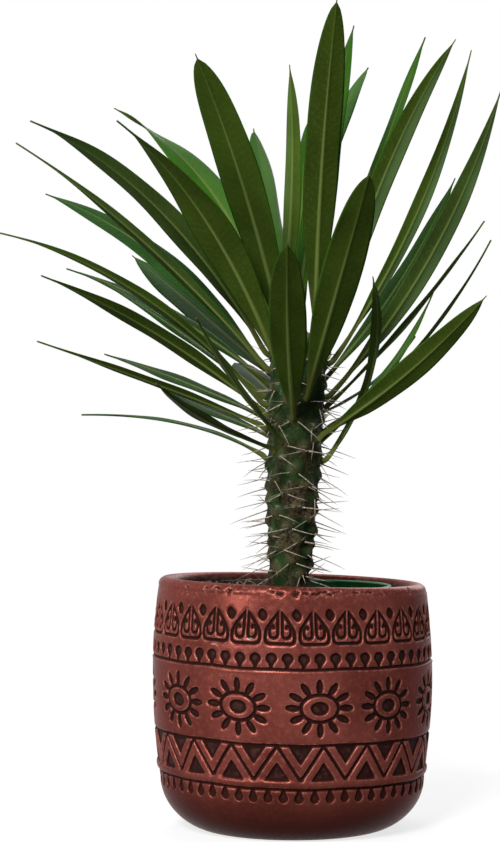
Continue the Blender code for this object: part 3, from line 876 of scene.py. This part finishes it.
@dataclass
class Leaf:
    """One leaf. Lengths are in millimetres and angles in degrees.

    foot is the height on the stem that it grows from. middle and tip are points on its midrib.
    roll turns the blade about its midrib and twist adds to that near the tip. fold is how far
    each half of the blade is raised. blunt is high for a leaf that stays wide almost to its tip.
    turn moves the foot round the stem. tone is 0 for a dark leaf and 1 for a bright one, blue is
    how far its colour goes to blue-green, and pale is painted light that makes one half paler
    than the other: the half on the leaf's left, seen from above with its tip ahead, or the right
    if it is negative."""

    number: int
    foot: float
    middle: tuple
    tip: tuple
    width: float
    roll: float = 0
    twist: float = 0
    fold: float = 10
    blunt: float = 2.4
    turn: float = 0
    tone: float = 0.4
    blue: float = 0
    pale: float = 0

    @property
    def name(self):
        return f"leaf_{self.number:02d}"


LEAVES = [
    # the youngest leaves, nearly upright, from the top of the stem
    Leaf(1, 246, (15, -13, 335), (22, -30, 410), 18, roll=-15, blunt=3.2, tone=0.2),
    Leaf(2, 248, (0, -4, 320), (-1, -8, 380), 9.5, roll=-60, fold=24, turn=-40, tone=0.85,
         pale=-0.2),
    Leaf(3, 245, (19, 24, 336), (32, 50, 411), 16, roll=-20, turn=-15),
    Leaf(4, 247, (17, 52, 338), (41, 105, 399), 18, roll=-25, blunt=3.2, turn=20, tone=0.45),
    Leaf(5, 243, (5, 64, 310), (9, 102, 370), 17, roll=-40, blunt=3.2),
    Leaf(6, 240, (-12, 64, 310), (-21, 112, 366), 18, roll=30, blunt=3.2, turn=12, tone=1,
         blue=0.15, pale=-0.35),
    Leaf(7, 241, (-23, -50, 315), (-44, -95, 371), 20.5, roll=10, blunt=3.2, tone=0.5),
    Leaf(8, 243, (42, 32, 329), (70, 62, 407), 13, roll=-10),
    Leaf(9, 239, (45, -12, 324), (79, -30, 389), 12.5, roll=-45, fold=12, tone=0.35, pale=0.7),
    Leaf(10, 239, (-39, 45, 320), (-95, 90, 375), 19, roll=-42, twist=110, blunt=2, tone=0.5,
         pale=-0.15),
    # the upper side leaves
    Leaf(11, 232, (-41, -60, 299), (-79, -100, 340), 22, roll=18, twist=-60, blunt=2),
    Leaf(12, 237, (-67, -20, 310), (-126, -35, 350), 18, roll=32, twist=-42, blunt=2.6, blue=0.35),
    Leaf(13, 233, (63, 8, 309), (91, 14, 391), 9.5, roll=-68, fold=9, blunt=1.8, tone=0.6,
         pale=0.8),
    Leaf(14, 230, (-74, -35, 293), (-130, -62, 335), 11, roll=16, blunt=1.3, tone=0.2, pale=0.15),
    Leaf(15, 230, (-68, 30, 288), (-129, 60, 325), 15, roll=-35, blunt=2, blue=0.45, tone=0.3),
    Leaf(16, 224, (-46, 60, 260), (-87, 110, 296), 18, roll=-20, blue=0.3, tone=0.25),
    Leaf(17, 216, (69, -12, 286), (103, -24, 366), 13, roll=-50, fold=10, blunt=1.8, tone=0.4,
         blue=0.3, pale=0.55),
    Leaf(18, 223, (55, 45, 275), (87, 80, 334), 14, roll=5, blunt=2, tone=0.15),
    Leaf(19, 215, (22, -60, 268), (35, -115, 314), 19.5, roll=-10, blunt=2.8),
    # the middle leaves
    Leaf(20, 222, (-65, 40, 261), (-120, 80, 287), 12, roll=-20, blunt=1.6, tone=0),
    Leaf(21, 212, (-77, -20, 268), (-141, -40, 295), 11, roll=20, blunt=1.5, tone=0.75),
    Leaf(22, 216, (-58, 12, 250), (-98, 22, 276), 10, roll=-20, blunt=1.6, tone=0.1),
    Leaf(23, 207, (-67, -30, 247), (-118, -60, 272), 14, roll=20, blunt=1.7, tone=0.25),
    Leaf(24, 211, (60, 22, 256), (99, 42, 307), 10, roll=-35, blunt=1.7, tone=0.9),
    Leaf(25, 205, (-2, -65, 245), (-2, -115, 282), 18.5, roll=-10, blunt=2.8, tone=0.3),
    Leaf(26, 199, (64, 14, 241), (101, 24, 295), 9, roll=-25, blunt=1.7, tone=0.8),
    Leaf(27, 205, (41, 62, 224), (67, 110, 251), 10, roll=-30, tone=0.1, blue=0.3),
    # the oldest leaves, low on the stem
    Leaf(28, 203, (-57, 45, 225), (-100, 85, 241), 11, roll=-15, blunt=1.7, tone=0),
    Leaf(29, 200, (-69, -15, 223), (-123, -30, 242), 10, roll=20, blunt=1.4, tone=0.25),
    Leaf(30, 193, (49, 34, 229), (74, 62, 271), 9, roll=-5, blunt=1.6, tone=0.7),
    Leaf(31, 195, (54, -40, 225), (90, -75, 260), 14, roll=-38, tone=0.45),
    Leaf(32, 193, (-26, -60, 220), (-43, -110, 248), 11, roll=-30, blunt=1.7),
    Leaf(33, 194, (-40, 42, 209), (-67, 80, 221), 11, roll=-10, blunt=1.8, tone=0),
    Leaf(34, 188, (-40, -50, 203), (-62, -95, 219), 11, blunt=1.8, tone=0.25),
    Leaf(35, 184, (39, -6, 228), (40, -32, 272), 12, roll=30, twist=-20, tone=0.6),
    Leaf(36, 185, (-57, 25, 203), (-108, 45, 208), 10, roll=-6, blunt=1.5, tone=0.15),
    # leaves behind the stem
    Leaf(37, 234, (-4, 65, 259), (-8, 118, 280), 16),
    Leaf(38, 218, (12, 64, 238), (18, 118, 246), 15, roll=10),
    Leaf(39, 209, (-20, 66, 228), (-32, 122, 238), 14, roll=-10, tone=0),
    Leaf(40, 192, (12, 62, 207), (18, 116, 208), 13, roll=5),
]


def stem_axis_x(z):
    """The stem's centre line leans right above the collar and runs straight down below it."""
    return COLLAR_X + STEM_LEAN * np.maximum(0.0, z - COLLAR)


def stem_radius(z):
    """The stem's radius: a tapering root, a column that widens, and a half-ellipse dome."""
    z = np.asarray(z, float)
    root = COLLAR_RADIUS * np.sqrt(np.clip((z - ROOT_TIP) / (COLLAR - ROOT_TIP), 0, 1))
    height = np.minimum(z, DOME_START) - COLLAR
    column = COLLAR_RADIUS + STEM_GAIN * (1 - np.exp(-height / STEM_GAIN_HEIGHT))
    rise = np.clip((z - DOME_START) / (STEM_TOP - DOME_START), 0, 1)
    return np.where(z < COLLAR, root, column * np.sqrt(1 - rise**2))


def stem_point(angle, z):
    """The point on the stem's surface at that angle and height, and the direction out of it."""
    radius = stem_radius(z)
    slope = stem_radius(z + 0.5) - stem_radius(z - 0.5)
    middle = np.array([stem_axis_x(z), 0, z])
    point = middle + radius * np.array([math.cos(angle), math.sin(angle), 0])
    return point, unit(np.array([math.cos(angle), math.sin(angle), -slope]))


def leaf_heading(leaf):
    """The direction, round the stem, that the leaf's foot faces."""
    x = leaf.middle[0] - stem_axis_x(leaf.foot)
    return math.atan2(leaf.middle[1], x) + math.radians(leaf.turn)


def leaf_midrib(leaf):
    """Points along the midrib, and the level direction across the leaf.

    The petiole is a Hermite curve that leaves the stem squarely. The blade is the parabola from
    the petiole's end through the leaf's middle to its tip, and a straight point ends it."""
    middle, tip = np.array(leaf.middle, float), np.array(leaf.tip, float)
    surface, out = stem_point(leaf_heading(leaf), leaf.foot)
    foot = surface + out * 0.3
    knee = foot + out * PETIOLE_REACH + np.array([0, 0, PETIOLE_RISE])
    control = 2 * middle - (knee + tip) / 2
    leave = unit(control - knee)
    chord = tip - knee
    across = unit(np.array([-chord[1], chord[0], 0]))
    t = np.linspace(-0.12, 1, 8)[:-1, None]
    stalk = (
        foot * (2 * t**3 - 3 * t**2 + 1)
        + out * PETIOLE_TENSION * (t**3 - 2 * t**2 + t)
        + knee * (3 * t**2 - 2 * t**3)
        + leave * PETIOLE_TENSION * (t**3 - t**2)
    )
    t = (np.linspace(0, 1, 46) ** 0.95)[:, None]
    blade = knee * (1 - t) ** 2 + control * 2 * t * (1 - t) + tip * t**2
    point = tip + unit(tip - control) * POINT_LENGTH * np.array([[0.35], [0.7], [1.0]])
    return np.concatenate([stalk, blade, point]), across


def leaf_width(share, blunt):
    """Full width as a share of the widest: a sine rise from the petiole, and a curve from there
    to the point."""
    rise = np.sin(math.pi / 2 * np.minimum(share / WIDEST_AT, 1)) ** 1.1
    past = np.clip((share - WIDEST_AT) / (1 - WIDEST_AT), 0, 1)
    return np.where(share < WIDEST_AT, rise, (1 - past**blunt) ** (1.5 / blunt + 0.15))


ACROSS = np.array([0, 0.06, 0.15, 0.3, 0.5, 0.7, 0.88])
UPPER = np.concatenate([[-1], -ACROSS[:0:-1], ACROSS, [1]])


def build_leaf(leaf, finish):
    """A closed strap: each section is a thin lens, folded along a midrib that stands out below.

    Along the midrib, each section's side is the level direction made square to the midrib and
    turned by the leaf's roll and twist. A point at share a of the half width lies at
    a * half * cos(fold) sideways and |a| * half * sin(fold) up, plus or minus half the thickness,
    which falls to nothing at the margins. The margins ripple gently. It returns the points."""
    path, level = leaf_midrib(leaf)
    along = unit(np.gradient(path, axis=0))
    steps = np.linalg.norm(np.diff(path, axis=0), axis=1)
    length = steps.sum()
    share = (np.concatenate([[0], np.cumsum(steps)]) / length)[:, None]
    side = unit(level - along * (along @ level)[:, None])
    up = np.cross(along, side)
    turn = np.radians(leaf.roll * np.minimum(1, share * 4) + leaf.twist * share**4)
    side, up = side * np.cos(turn) + up * np.sin(turn), up * np.cos(turn) - side * np.sin(turn)

    reach = share * length / (length - POINT_LENGTH)
    tip_width = TIP_WIDTH * np.clip(1 + 18 * (1 - reach), 0.25, 1)
    least = np.where(share < WIDEST_AT, PETIOLE_WIDTH, tip_width)
    half = np.maximum(leaf_width(np.minimum(reach, 1), leaf.blunt) * leaf.width, least) / 2
    half = half + PETIOLE_FLARE * smooth_step(0.035, 0.0, share) / 2
    lower = UPPER[-2:0:-1]
    a = np.concatenate([UPPER, lower])[None]
    is_under = np.concatenate([np.zeros(len(UPPER)), np.ones(len(lower))])
    fold = math.radians(leaf.fold * FOLD_SHARE) * np.minimum(1, share * 6)
    round_a = np.sqrt(a**2 + 0.004) - math.sqrt(0.004)
    seed = sum(map(ord, leaf.name))
    ripple = RIPPLE * np.sin(17 * share + seed + 1.4 * np.sign(a)) * smooth_step(0.15, 0.4, share)
    lift = half * (round_a * np.sin(fold) + a**2 * ripple - 0.07 * a**4)
    stalk = smooth_step(0.17, 0.03, share)
    lens = np.sqrt(np.clip(1 - a**2, 0, 1))
    thick = (MARGIN_THICKNESS + MIDDLE_THICKNESS * lens + stalk * STALK_THICKNESS) * lens
    rib_width = 0.45 + 0.75 * (1 - share)
    rib = np.exp(-((a * half / rib_width) ** 2)) * (1 - 0.75 * share)
    top = thick - 0.18 * rib * (1 - stalk) * lens
    height = np.where(is_under > 0, -thick - RIB_DEPTH * rib * lens, top)
    rows = path[:, None] + side[:, None] * (a * half * np.cos(fold))[..., None]
    rows = rows + up[:, None] * (lift + height)[..., None]
    # the section's points run from the left margin over the top to the right, then back under
    rings = [row[::-1] for row in rows]
    points, faces = skin(rings, path[0], path[-1])

    def per_point(values, first, last):
        full = np.broadcast_to(values, rows.shape[:2])[:, ::-1]
        return np.concatenate([full.ravel(), [first, last]])

    # painted light: the paler half of the blade
    pale = abs(leaf.pale) * smooth_step(-0.12, 0.12, a * math.copysign(1, leaf.pale))
    fields = {
        "across": per_point(np.abs(a), 0, 0),
        "along": per_point(share, 0, 1),
        "under": per_point(is_under, 1, 1),
        "rib": per_point(rib, 1, 0),
        "tone": np.full(len(points), leaf.tone),
        "blue": np.full(len(points), leaf.blue),
        "pale": per_point(pale, 0, 0),
    }
    add_piece(leaf.name + "_blade", points, faces, finish, [leaf.name], fields)
    return points


# ---- stem and thorns


def cushion_places():
    """Angle and height of each cushion: one under every leaf, then a golden-angle spiral of the
    places whose leaves have fallen, leaving out any that comes too near another."""
    places = [(leaf_heading(leaf), leaf.foot - 1.0) for leaf in LEAVES]
    for step in range(88):
        angle = GOLDEN_ANGLE * step + 0.6
        z = 124.0 + 1.33 * step
        radius = stem_radius(z)
        gaps = [
            math.hypot(radius * math.remainder(angle - a, math.tau), (z - h) * 1.1)
            for a, h in places
        ]
        if min(gaps) > CUSHION_GAP:
            places.append((angle, z))
    return places


def build_stem(places):
    """The column, with a raised cushion at each place: a round bump that is steeper below."""
    root = np.linspace(ROOT_TIP + 0.4, COLLAR - 4, 10)
    column = np.linspace(COLLAR - 3, DOME_START, 148)
    dome = DOME_START + (STEM_TOP - DOME_START) * np.sin(np.radians(np.linspace(4, 88, 22)))
    heights = np.concatenate([root, column, dome])
    z, angle = np.meshgrid(heights, turns(144) - math.pi / 2, indexing="ij")
    radius = stem_radius(z)
    bump = np.zeros_like(z)
    for place, height in places:
        across = radius * np.remainder(angle - place + math.pi, math.tau) - math.pi * radius
        rise = (z - height) * np.where(z < height, 1.1, 0.62)
        wide, tall = CUSHION_REACH
        bump = np.maximum(bump, np.exp(-((across / wide) ** 2 + (rise / tall) ** 2)))
    waves = 0.25 * np.sin(3 * angle + z / 7) + 0.2 * np.sin(7 * angle - z / 3.1)
    above_soil = smooth_step(112, 124, z) * smooth_step(252, 238, z)
    radius = radius + (CUSHION_HEIGHT * bump + waves - 0.4) * above_soil
    x = stem_axis_x(z) + radius * np.cos(angle)
    grid = np.stack([x, radius * np.sin(angle), z], -1)
    foot = (COLLAR_X, 0, ROOT_TIP)
    tip = (stem_axis_x(STEM_TOP), 0, STEM_TOP)
    points, faces = skin(list(grid), foot, tip)
    height_share = (points[:, 2] - COLLAR) / (STEM_TOP - COLLAR)
    fields = {
        "cushion": np.concatenate([bump.ravel(), [0, 0]]),
        "height": np.clip(height_share, 0, 1),
    }
    add_piece("trunk", points, faces, stem_skin(), ["stem"], fields)


def free_shares(starts, reaches, leaves):
    """How much of each thorn lies before the first place where it comes too near a leaf."""
    share = np.linspace(0.1, 1, 24)
    sampled = starts[:, None] + reaches[:, None] * share[:, None]
    gaps = []
    for points in leaves:
        near = points[np.hypot(points[:, 0], points[:, 1]) < THORN_REACH]
        gaps.append(np.linalg.norm(sampled[:, :, None] - near, axis=3).min(2))
    touched = np.min(gaps, 0) < THORN_CLEARANCE
    return np.where(touched.any(1), share[touched.argmax(1)] - 0.08, 1.0)


def build_thorns(places, leaves):
    """Two long thorns to a cushion that spread sideways from its shoulders, and often a shorter
    one between them. Each path starts inside the cushion and is a straight line with a slight sag
    or lift; its radius falls to nothing at the point. A thorn that would meet a leaf ends short
    of it, or is left out if too little of it would be left."""
    chance = np.random.default_rng(11)
    thorns = []
    for number, (place, height) in enumerate(places):
        leafy = number < len(LEAVES) and height > LEAFY_FROM
        surface, out = stem_point(place, height)
        tangent = np.array([-math.sin(place), math.cos(place), 0])
        crown = smooth_step(215, 246, height)
        for hand in (-1, 1):
            spread = math.radians(chance.uniform(40, 76))
            tilt = np.array([0, 0, chance.uniform(-0.52, 0.12) + 0.35 * crown])
            way = out * math.cos(spread) + hand * tangent * math.sin(spread) + tilt
            shoulder = 2.0 if leafy else 1.3
            start = surface + hand * tangent * shoulder + out * 0.1 - (0, 0, 0.6)
            thorns.append((start, way, chance.uniform(*LONG_THORN) * (1 - 0.45 * crown)))
        if chance.uniform() < 0.75 and not leafy:
            way = out + tangent * chance.uniform(-0.9, 0.9) + (0, 0, chance.uniform(-0.3, 0.7))
            start = surface + out * 0.2 + (0, 0, chance.uniform(-0.8, 1.2))
            thorns.append((start, way, chance.uniform(*SHORT_THORN)))
    starts, ways, lengths = (np.array(values) for values in zip(*thorns))
    ways, lengths = unit(ways), lengths[:, None]
    sag = chance.uniform(-0.16, 0.12, (len(starts), 1)) * np.array([0, 0, 1.0])
    thickness = chance.uniform(0.76, 1.02, (len(starts), 1))
    free = free_shares(starts, (ways + sag / 2) * lengths, leaves)
    kept = free > 0.3
    starts, ways, sag = starts[kept, None], ways[kept, None], sag[kept, None]
    share = np.array([0, 0.18, 0.45, 0.75, 1.0])
    runs = (lengths * free[:, None])[kept, None] * share[:, None]
    paths = starts + ways * runs + sag * runs * share[:, None]
    radii = thickness[kept] * np.array([0.6, 0.34, 0.27, 0.18, 0.04])
    points, faces = tubes(paths, radii, 5)
    fields = {"along": np.tile(np.concatenate([np.repeat(share, 5), [0, 1]]), len(paths))}
    add_piece("thorns", points, faces, thorn_horn(), (), fields)


# ---- floor, light and camera


def build_floor():
    """A wide pale floor that shows nearly white to the camera and keeps the shadow."""
    bpy.ops.mesh.primitive_plane_add(size=60, location=(0, 0, 0))
    floor = bpy.context.object
    floor.name = "floor"
    made = Finish("pale_floor", Roughness=0.9, Metallic=0.0, Specular_IOR_Level=0.0)
    seen = made.seen()
    made.colour = made.mix(seen, (0.16, 0.16, 0.16), (0.95, 0.95, 0.95))
    glow = made.node("Emission", {"Color": WHITE, "Strength": 1.0}).outputs[0]
    away = made.node("VectorMath", {0: made.place()}, operation="LENGTH").outputs["Value"]
    share = made.times(seen, made.span(away, 0.12, 0.7, 0.75, 1.0))
    blend = made.node("MixShader", {0: share, 1: made.shader.outputs[0], 2: glow}).outputs[0]
    made.tree.links.new(blend, made.tree.nodes["Material Output"].inputs["Surface"])
    floor.data.materials.append(made.done())


def build_world():
    """White where it is seen, and a dim light from all round otherwise."""
    world = bpy.data.worlds.new("soft_room")
    world.use_nodes = True
    bpy.context.scene.world = world
    room = Nodes(world.node_tree)
    dim = room.tree.nodes["Background"]
    dim.inputs["Color"].default_value = WHITE
    dim.inputs["Strength"].default_value = 0.2
    white = room.node("Background", {"Color": WHITE})
    inputs = {0: room.seen(), 1: dim.outputs[0], 2: white.outputs[0]}
    blend = room.node("MixShader", inputs).outputs[0]
    room.tree.links.new(blend, room.tree.nodes["World Output"].inputs["Surface"])


def add_lamp(name, place, target, size, power):
    data = bpy.data.lights.new(name, "AREA")
    data.shape = "DISK"
    data.size = size
    data.energy = power
    lamp = add_object(name, data)
    lamp.location = place
    x, y, z = np.array(target) - np.array(place)
    lamp.rotation_euler = (math.atan2(math.hypot(x, y), -z), 0, math.atan2(-x, y))


def add_camera():
    data = bpy.data.cameras.new("camera")
    data.lens = 98.3
    data.sensor_width = 36
    camera = add_object("camera", data)
    camera.location = (0, -1.1615, 0.1867)
    camera.rotation_euler = (math.radians(90 + 0.85), 0, math.radians(1.05))
    bpy.context.scene.camera = camera


# ---- everything together

LAMPS = [
    # name, place, what it points at, size in metres and power in watts
    ("key", (-0.45, -1.5, 1.05), (0, 0, 0.15), 0.5, 39),
    ("side", (-1.0, -0.95, 0.4), (0, 0, 0.12), 0.4, 11),
    ("behind", (0.6, 1.5, 1.0), (0, 0, 0.15), 1.2, 16),
    ("top", (-0.2, 0.8, 1.5), (0, 0, 0.25), 0.8, 10),
]

add_camera()
build_pot()
build_nursery_pot()
build_soil()
build_dry_roots()
leaf_finish = leaf_skin()
leaf_surfaces = [build_leaf(leaf, leaf_finish) for leaf in LEAVES]
all_places = cushion_places()
build_stem(all_places)
build_thorns(all_places, leaf_surfaces)
build_floor()
build_world()
for lamp in LAMPS:
    add_lamp(*lamp)
bpy.context.scene.view_settings.view_transform = "Standard"
